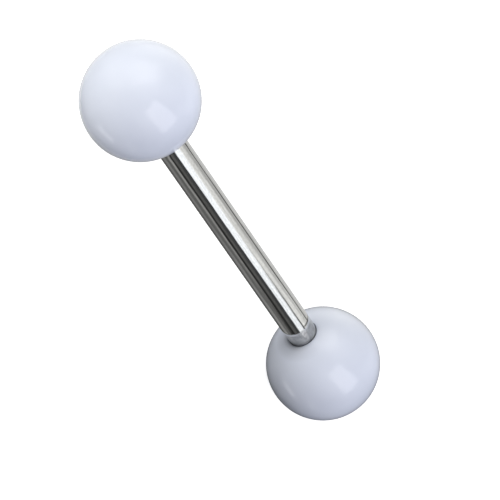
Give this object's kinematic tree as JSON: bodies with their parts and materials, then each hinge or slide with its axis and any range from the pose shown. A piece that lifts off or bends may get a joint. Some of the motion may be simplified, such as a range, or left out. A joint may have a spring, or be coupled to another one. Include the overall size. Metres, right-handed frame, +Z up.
{
  "type": "nipple barbell",
  "caption": "Straight piercing barbell: a polished round steel bar with threaded ends, closed at each end by a glossy white screw-on ball.",
  "frame": {"origin": "the middle of the barbell's length, on the surface that both balls rest on", "axes": "+X along the bar's axis, +Z up; the bar's axis is 3 mm above the origin"},
  "size_m": [0.0294, 0.006, 0.006],
  "materials": {
    "steel": "mirror-polished surgical steel",
    "white_acrylic": "opaque cool-white acrylic, polished to a gloss"
  },
  "bodies": {
    "bar": {"bar": "steel"},
    "ball_left": {"ball_left": "white_acrylic"},
    "ball_right": {"ball_right": "white_acrylic"}
  },
  "joints": [
    {"name": "ball_left_unscrew", "type": "slide", "parent": "bar", "child": "ball_left", "axis": [-1, 0, 0], "range_m": [0, 0.005]},
    {"name": "ball_right_unscrew", "type": "slide", "parent": "bar", "child": "ball_right", "axis": [1, 0, 0], "range_m": [0, 0.005]}
  ]
}
